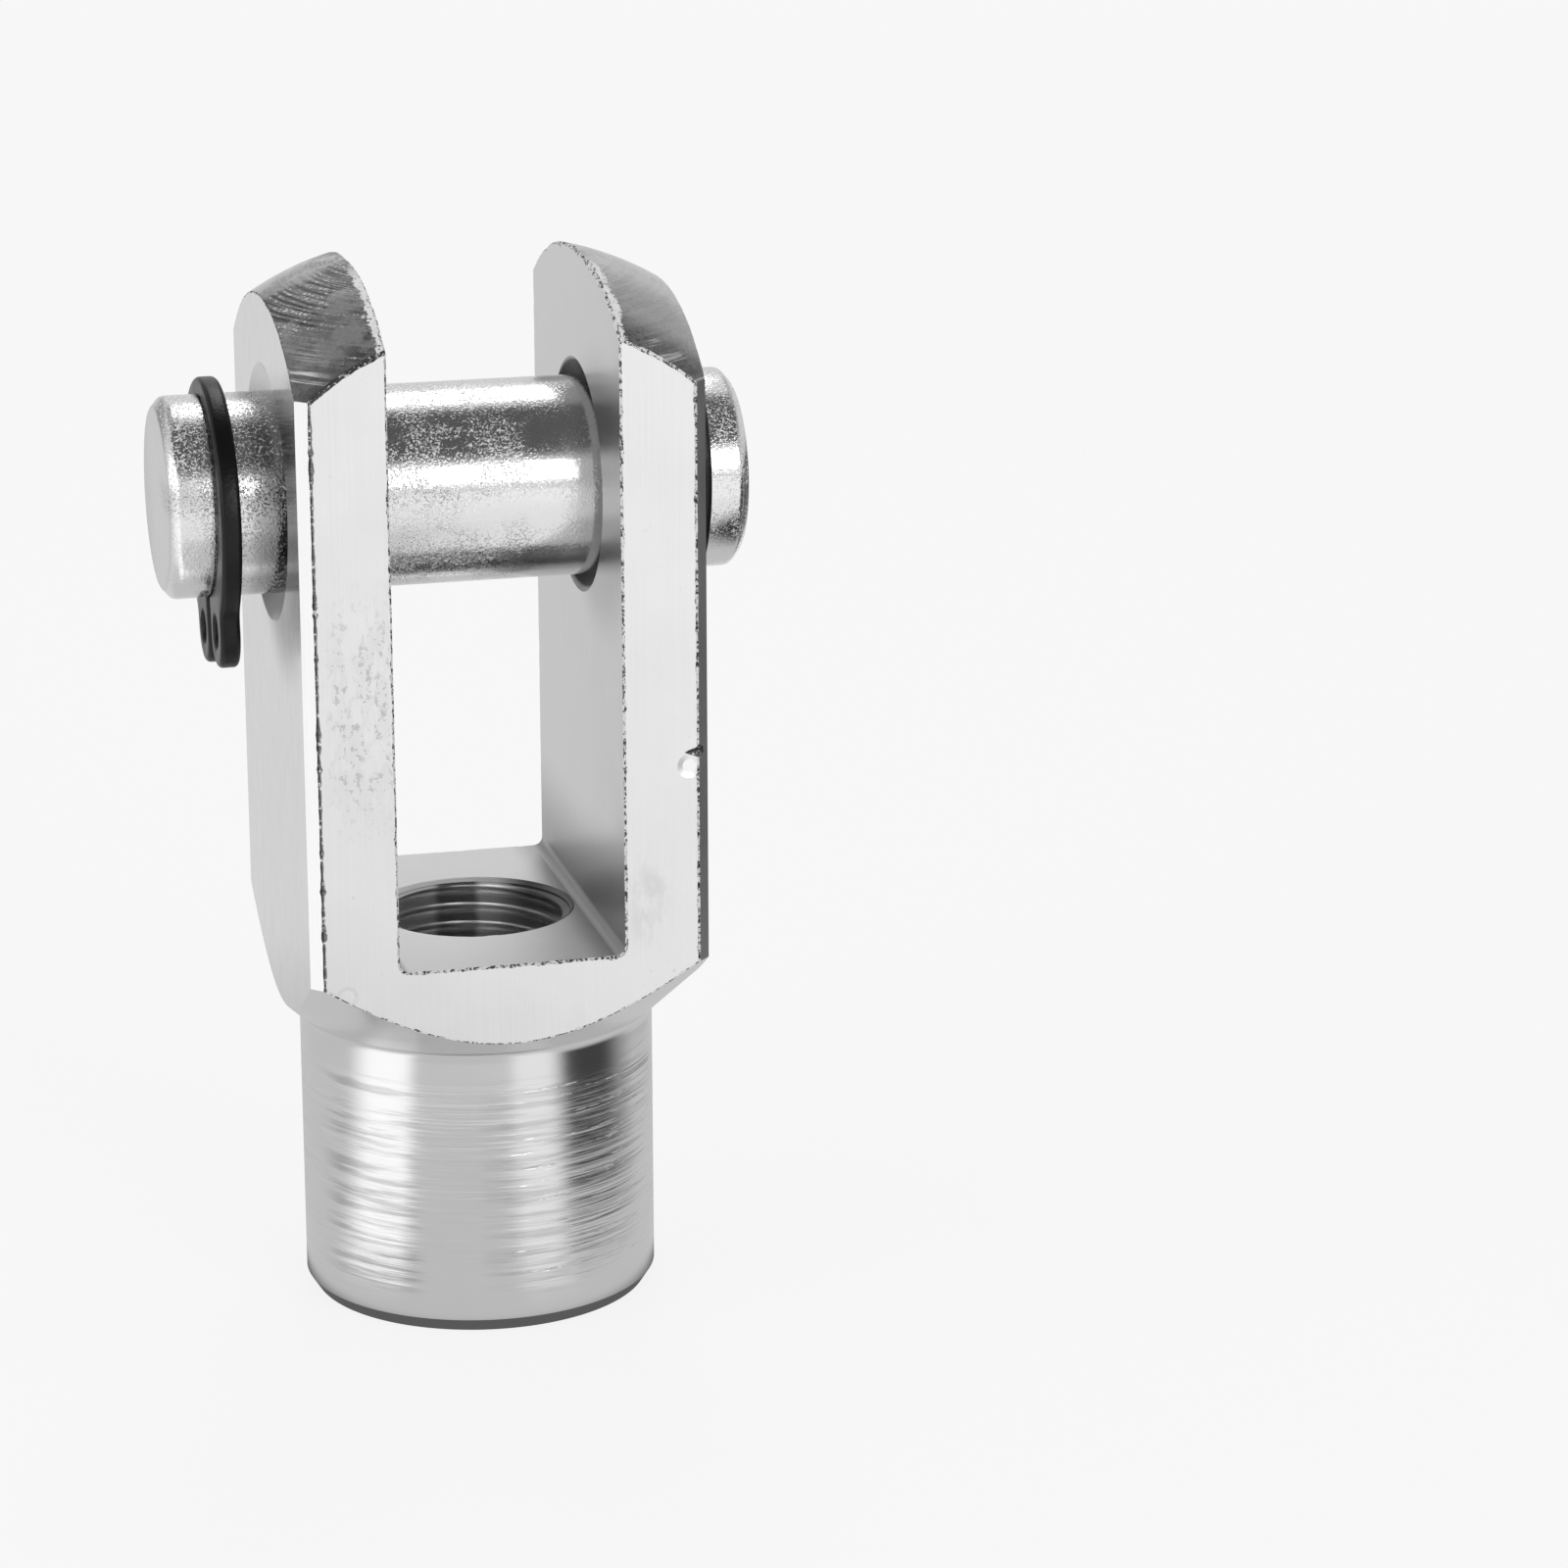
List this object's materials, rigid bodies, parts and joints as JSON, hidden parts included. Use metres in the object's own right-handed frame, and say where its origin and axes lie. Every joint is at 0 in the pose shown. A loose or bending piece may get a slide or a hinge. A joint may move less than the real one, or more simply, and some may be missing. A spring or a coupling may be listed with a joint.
{
  "type": "clevis rod end",
  "caption": "Steel fork head on a threaded round neck, with a plain cross pin held in its ears by external retaining rings.",
  "frame": {"origin": "centre of the neck's end face, on the axis of its threaded hole", "axes": "+Z along the neck from the threaded end towards the ears, X along the cross pin, Y across the ears"},
  "size_m": [0.0289, 0.02, 0.0533],
  "materials": {
    "fork_zinc": "bright zinc plate over milled and turned steel",
    "pin_zinc": "bright zinc plate over drawn bar, finely pitted",
    "ring_black": "satin black phosphate on spring steel"
  },
  "bodies": {
    "fork": {"fork": "fork_zinc"},
    "retaining_rings": {"left_retaining_ring": "ring_black", "right_retaining_ring": "ring_black"},
    "pin": {"clevis_pin": "pin_zinc"}
  },
  "joints": [
    {"name": "pin_slide", "type": "slide", "parent": "fork", "child": "retaining_rings", "axis": [1, 0, 0], "range_m": [-0.00015, 0.00215]},
    {"name": "pin_spin", "type": "hinge", "parent": "retaining_rings", "child": "pin", "pos_m": [0, 0, 0.0419], "axis": [1, 0, 0], "continuous": true}
  ]
}
